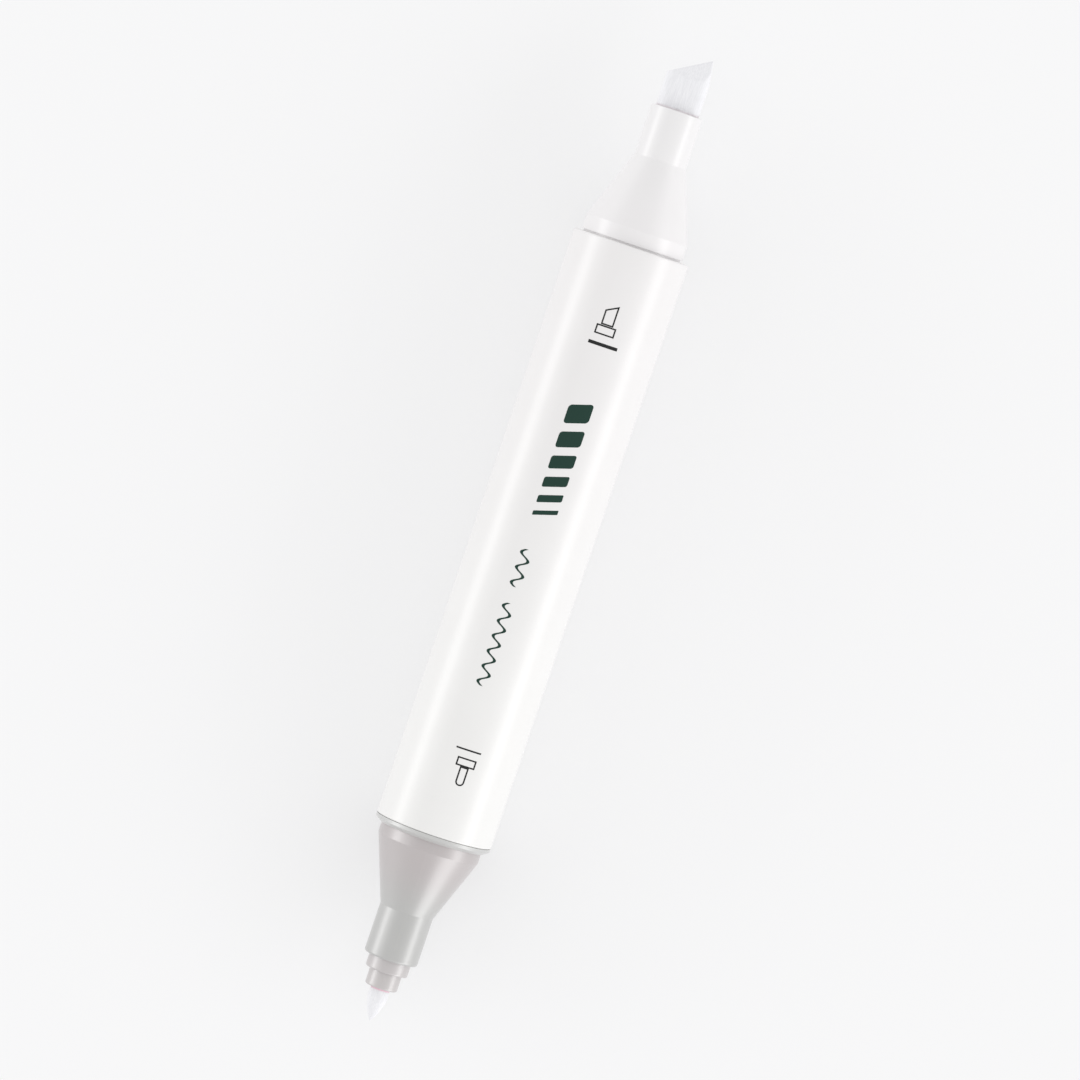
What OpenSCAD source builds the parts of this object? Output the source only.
// Double-ended felt marker, uncapped and held level.
//
// +X runs along the marker towards the broad tip, and +Z is up.
// The origin is on the marker's axis, in the middle of the barrel.
// Every sub-part is drawn about its own local axis, +Z pointing out of the marker,
// and is then laid along X by broad_side() or fine_side().

/* [Barrel] */
// Outside diameter of the barrel
barrel_d = 16; // [15.5:0.1:18]
// Length of the barrel tube
barrel_l = 82.2; // [76:0.1:95]
// Wall thickness of the barrel
barrel_wall = 1.2; // [1:0.05:1.4]
// Number of lengthways ribs inside the barrel
barrel_ribs = 6; // [4:1:8]

/* [Nib sections] */
// Diameter of the collars that the caps push over
collar_d = 14; // [13.8:0.1:14.6]
// Depth of each section's plug inside the barrel
plug_depth = 9; // [7:0.5:12]
// Far end of the broad section's collar, from the barrel's end
broad_collar_end = 2.3; // [1.6:0.1:3]
// Far end of the broad section's cone
broad_cone_end = 11.9; // [10:0.1:13]
// Far end of the broad section's spigot
broad_spigot_end = 18.9; // [17:0.1:21]
// Diameter of the broad section's spigot
broad_spigot_d = 7.06; // [7:0.02:7.6]
// Thickness of the flange that closes the barrel's fine end
fine_flange_t = 0.95; // [0.8:0.05:1.1]
// Far end of the fine section's collar
fine_collar_end = 2.4; // [1.8:0.1:3]
// Far end of the fine section's cone
fine_cone_end = 11.4; // [10:0.1:13]
// Far end of the fine section's spigot
fine_spigot_end = 18.2; // [17:0.1:21]
// Diameter of the fine section's spigot
fine_spigot_d = 7.4; // [7:0.02:7.8]

/* [Fine ferrule] */
// Diameter of the ferrule's wide step
wide_step_d = 5.84; // [5.6:0.02:6.4]
// Length of the ferrule's wide step
wide_step_l = 1.8; // [1:0.1:2.5]
// Diameter of the ferrule's narrow step
narrow_step_d = 4.48; // [4.2:0.02:5]
// Length of the ferrule's narrow step
narrow_step_l = 2.3; // [1.5:0.1:3]

/* [Nibs] */
// Width of the broad nib
broad_nib_w = 6; // [5.4:0.1:6.1]
// Thickness of the broad nib's shank
broad_nib_t = 3.8; // [3:0.1:4]
// Thickness of the broad nib's writing edge
broad_edge_t = 2; // [1.2:0.1:2.8]
// Reach of the broad nib's short corner past its spigot
broad_heel_out = 4.8; // [3.5:0.1:6]
// Reach of the broad nib's long corner past its spigot
broad_toe_out = 7.9; // [6.5:0.1:9]
// Diameter of the fine nib
fine_nib_d = 2.72; // [2.2:0.02:2.9]
// Reach of the fine nib past its ferrule
fine_nib_out = 4.8; // [4:0.1:6]
// Depth of each nib inside the fibre of the reservoir
nib_bite = 7; // [4:0.5:12]

/* [Reservoir] */
// Outside diameter of the reservoir's film
film_d = 12.1; // [11.6:0.1:12.2]
// Thickness of the reservoir's film
film_t = 0.15; // [0.1:0.05:0.3]

/* [Hidden] */
$fn = 96;

fit = 0.05;             // clearance of a sliding or snapped fit, each side
touch = 0.02;           // gap between the fibre and its film
over = 1;               // how far a cutter runs past what it cuts
barrel_r = barrel_d / 2;
bore_r = barrel_r - barrel_wall;
collar_r = collar_d / 2;
plug_r = bore_r - fit;
plug_wall = 1.2;
plug_bore_r = plug_r - plug_wall;
film_r = film_d / 2;
barrel_edge = 0.25;     // rounding of the barrel's two outer edges
flange_rim = 0.45;      // straight part of the fine flange's rim
flange_cut = 0.75;      // radial depth of the chamfer on the fine flange

// Snap bead on each plug, and the groove in the barrel that it springs into
bead_from_end = 3;
bead_w = 1;
bead_h = 0.15;

// Ribs and vents
rib_t = 0.7;
section_ribs = 4;
plug_notches = 4;
notch_w = 2;
notch_depth = 1.5;
relief_l = 0.3;         // shadow line at the foot of the broad collar
relief_depth = 0.25;
broad_round = 0.15;     // rounding of the broad spigot's end
fine_round = 0.35;      // rounding of the fine spigot's end
step_round = 0.25;      // rounding of the ferrule's two steps
vent_w = 0.8;
vent_depth = 0.35;
ferrule_vents = 3;
ferrule_vent_w = 0.5;
ferrule_vent_depth = 0.25;

// Broad nib
nib_corner_r = 1.4;
nib_shoulder = 3.4;     // height of the taper to the writing edge
toe_inset = 0.55;       // how far the long corner leans in from the nib's side

// Ferrule
tail_r = 2.5;
tail_inside = 4;        // where the ferrule's tail ends, from the barrel's end
guide_start = 8.6;      // where each section's hollow cone closes to the nib's guide

// Reach of each nib past the barrel's end
broad_out = broad_spigot_end + broad_toe_out;
fine_out = fine_spigot_end + wide_step_l + narrow_step_l + fine_nib_out;

// Reservoir, held between the two plugs
reservoir_gap = 0.2;
reservoir_l = barrel_l - 2 * (plug_depth + reservoir_gap);

module broad_side() {
    translate([barrel_l / 2, 0, 0]) rotate([0, 90, 0]) children();
}

module fine_side() {
    translate([-barrel_l / 2, 0, 0]) rotate([0, -90, 0]) children();
}

// Points of a quarter round: centre c, radius r, from angle a to angle b
function arc(c, r, a, b, steps = 5) = [
    for (i = [0:steps])
        let (t = a + (b - a) * i / steps)
            [c[0] + r * cos(t), c[1] + r * sin(t)],
];

// Cross-section of the broad nib, grown by room on every side
module nib_shape(room) {
    x = broad_nib_t / 2 + room - nib_corner_r;
    y = broad_nib_w / 2 + room - nib_corner_r;
    polygon(concat(
        arc([x, y], nib_corner_r, 0, 90),
        arc([-x, y], nib_corner_r, 90, 180),
        arc([-x, -y], nib_corner_r, 180, 270),
        arc([x, -y], nib_corner_r, 270, 360)
    ));
}

// A ring of copies about the local axis, the first turned by start degrees
module ring_of(count, start = 0) {
    for (i = [0:count - 1])
        rotate([0, 0, start + i * 360 / count]) children();
}

module tube(r_out, r_in, from, to) {
    translate([0, 0, from]) difference() {
        cylinder(r = r_out, h = to - from);
        translate([0, 0, -over]) cylinder(r = r_in, h = to - from + 2 * over);
    }
}

// Barrel wall as a turned profile: half of it, from the middle out to one end
module barrel_half() {
    half = barrel_l / 2;
    groove_out = half - bead_from_end + bead_w / 2 + fit;
    groove_in = half - bead_from_end - bead_w / 2 - fit;
    groove_r = plug_r + bead_h + fit;
    rotate_extrude() polygon(concat(
        [[bore_r, 0], [barrel_r, 0]],
        arc([barrel_r - barrel_edge, half - barrel_edge], barrel_edge, 0, 90),
        [
            [bore_r, half],
            [bore_r, groove_out],
            [groove_r, groove_out - 0.1],
            [groove_r, groove_in + 0.1],
            [bore_r, groove_in],
        ]
    ));
}

module barrel_rib() {
    rib_l = barrel_l - 2 * (plug_depth + 2);
    rib_in = film_r + fit;
    translate([rib_in, -rib_t / 2, -rib_l / 2])
        cube([bore_r + barrel_wall / 2 - rib_in, rib_t, rib_l]);
}

module barrel() {
    color("white") rotate([0, 90, 0]) {
        barrel_half();
        mirror([0, 0, 1]) barrel_half();
        ring_of(barrel_ribs) barrel_rib();
    }
}

// The plug that both sections share, with its snap bead, up to the barrel's end
function plug_outline() = [
    [plug_bore_r, -plug_depth],
    [plug_r - 0.4, -plug_depth],
    [plug_r, -plug_depth + 0.8],
    [plug_r, -bead_from_end - bead_w / 2],
    [plug_r + bead_h, -bead_from_end - bead_w / 2 + 0.2],
    [plug_r + bead_h, -bead_from_end + bead_w / 2 - 0.2],
    [plug_r, -bead_from_end + bead_w / 2],
    [plug_r, 0],
];

// Cuts across the plug's inner face that let air reach the reservoir
module plug_vents() {
    ring_of(plug_notches, 45)
        translate([0, -notch_w / 2, -plug_depth - over])
            cube([barrel_r, notch_w, notch_depth + over]);
}

// Ribs in a section's hollow, which centre the nib between plug and guide
module section_rib(inner_r) {
    rotate([90, 0, 0]) translate([0, 0, -rib_t / 2]) linear_extrude(rib_t)
        polygon([
            [inner_r, -plug_depth + 3],
            [plug_bore_r + plug_wall / 2, -plug_depth + 3],
            [plug_bore_r + plug_wall / 2, 1.5],
            [inner_r + 0.8, guide_start + 0.5],
            [inner_r, guide_start + 0.5],
        ]);
}

module broad_section() {
    spigot_r = broad_spigot_d / 2;
    color("whitesmoke") broad_side() difference() {
        union() {
            rotate_extrude() polygon(concat(
                plug_outline(),
                [
                    [collar_r - relief_depth, 0],
                    [collar_r - relief_depth, relief_l],
                    [collar_r, relief_l],
                    [collar_r, broad_collar_end],
                    [spigot_r, broad_cone_end],
                ],
                arc([spigot_r - broad_round, broad_spigot_end - broad_round], broad_round, 0, 90),
                [
                    [0, broad_spigot_end],
                    [0, guide_start],
                    [3.5, guide_start],
                    [plug_bore_r, 1],
                ]
            ));
            ring_of(section_ribs, 45) section_rib(3.3);
        }
        plug_vents();
        translate([0, 0, guide_start - over])
            linear_extrude(broad_spigot_end - guide_start + 2 * over) {
                nib_shape(fit);
                square([broad_nib_t + 2 * vent_depth, vent_w], center = true);
            }
    }
}

// Nib shank along the local axis, wide along Y, with the slanted writing end
module broad_nib() {
    shank_end = broad_spigot_end + broad_heel_out;
    tip_end = broad_out;
    tail_end = -plug_depth - nib_bite;
    side = broad_nib_w / 2;
    color("lavender") broad_side() intersection() {
        translate([0, 0, tail_end]) linear_extrude(tip_end - tail_end)
            nib_shape(0);
        // seen on the wide face: short corner on +Y, long corner on -Y
        rotate([90, 0, 90]) translate([0, 0, -broad_nib_t]) linear_extrude(2 * broad_nib_t)
            polygon([
                [-side - over, tail_end - over],
                [side + over, tail_end - over],
                [side + over, shank_end - 0.5],
                [side, shank_end - 0.5],
                [side - 0.15, shank_end - 0.1],
                [side - 0.5, shank_end + 0.12],
                [-side + toe_inset + 0.5, tip_end - 0.1],
                [-side + toe_inset + 0.25, tip_end],
                [-side + toe_inset, tip_end - 0.2],
                [-side, shank_end - 0.2],
                [-side - over, shank_end - 0.2],
            ]);
        // seen on the thin side: the shank tapers to the writing edge
        rotate([90, 0, 0]) translate([0, 0, -broad_nib_w]) linear_extrude(2 * broad_nib_w)
            polygon([
                [-broad_nib_t, tail_end - over],
                [broad_nib_t, tail_end - over],
                [broad_nib_t, tip_end - nib_shoulder],
                [broad_nib_t / 2, tip_end - nib_shoulder],
                [broad_edge_t / 2, tip_end + 0.01],
                [-broad_edge_t / 2, tip_end + 0.01],
                [-broad_nib_t / 2, tip_end - nib_shoulder],
                [-broad_nib_t, tip_end - nib_shoulder],
            ]);
    }
}

module fine_section() {
    spigot_r = fine_spigot_d / 2;
    color("silver") fine_side() {
        difference() {
            rotate_extrude() polygon(concat(
                plug_outline(),
                [
                    [barrel_r, 0],
                    [barrel_r, flange_rim],
                    [barrel_r - flange_cut, fine_flange_t],
                    [collar_r, fine_flange_t],
                    [collar_r, fine_collar_end],
                    [spigot_r, fine_cone_end],
                ],
                arc([spigot_r - fine_round, fine_spigot_end - fine_round], fine_round, 0, 90),
                [
                    [tail_r + fit, fine_spigot_end],
                    [tail_r + fit, guide_start],
                    [3.5, guide_start],
                    [plug_bore_r, 1],
                ]
            ));
            plug_vents();
        }
        ring_of(section_ribs, 45) section_rib(tail_r + 0.4);
    }
}

module fine_ferrule() {
    wide_r = wide_step_d / 2;
    narrow_r = narrow_step_d / 2;
    wide_end = fine_spigot_end + wide_step_l;
    narrow_end = wide_end + narrow_step_l;
    bore = fine_nib_d / 2 + fit;
    color("lightgray") fine_side() difference() {
        rotate_extrude() polygon(concat(
            [
                [bore + 0.4, tail_inside],
                [tail_r - 0.3, tail_inside],
                [tail_r, tail_inside + 0.6],
                [tail_r, fine_spigot_end],
                [wide_r, fine_spigot_end],
            ],
            arc([wide_r - step_round, wide_end - step_round], step_round, 0, 90),
            [[narrow_r, wide_end]],
            arc([narrow_r - step_round, narrow_end - step_round], step_round, 0, 90),
            [
                [bore, narrow_end],
                [bore, tail_inside + 0.6],
            ]
        ));
        ring_of(ferrule_vents, 60)
            translate([0, -ferrule_vent_w / 2, tail_inside - over])
                cube([bore + ferrule_vent_depth, ferrule_vent_w, narrow_end - tail_inside + 2 * over]);
    }
}

// Round rod whose end narrows along an ogive to a blunt point
module fine_nib() {
    r = fine_nib_d / 2;
    tip_end = fine_out;
    tail_end = -plug_depth - nib_bite;
    straight = 0.28 * fine_nib_out;
    ogive = fine_nib_out - straight;
    steps = 10;
    color("lavender") fine_side() rotate_extrude() polygon(concat(
        [[0, tail_end], [r - 0.15, tail_end], [r, tail_end + 0.15]],
        [
            for (i = [0:steps - 1])
                let (t = i / steps)
                    [r * pow(1 - pow(t, 1.5), 0.9), tip_end - ogive + ogive * t],
        ],
        [[0, tip_end]]
    ));
}

module reservoir_film() {
    color("gainsboro") fine_side()
        tube(film_r, film_r - film_t, -plug_depth - reservoir_gap - reservoir_l,
             -plug_depth - reservoir_gap);
}

module reservoir_fibre() {
    fibre_r = film_r - film_t - touch;
    socket = nib_bite + 0.1;
    color("ivory") difference() {
        fine_side() translate([0, 0, -plug_depth - reservoir_gap - reservoir_l])
            cylinder(r = fibre_r, h = reservoir_l);
        fine_side() translate([0, 0, -plug_depth - socket])
            cylinder(r = fine_nib_d / 2 + fit, h = socket + over);
        broad_side() translate([0, 0, -plug_depth - socket]) linear_extrude(socket + over)
            nib_shape(fit);
    }
}

barrel();
broad_section();
broad_nib();
fine_section();
fine_ferrule();
fine_nib();
reservoir_film();
reservoir_fibre();
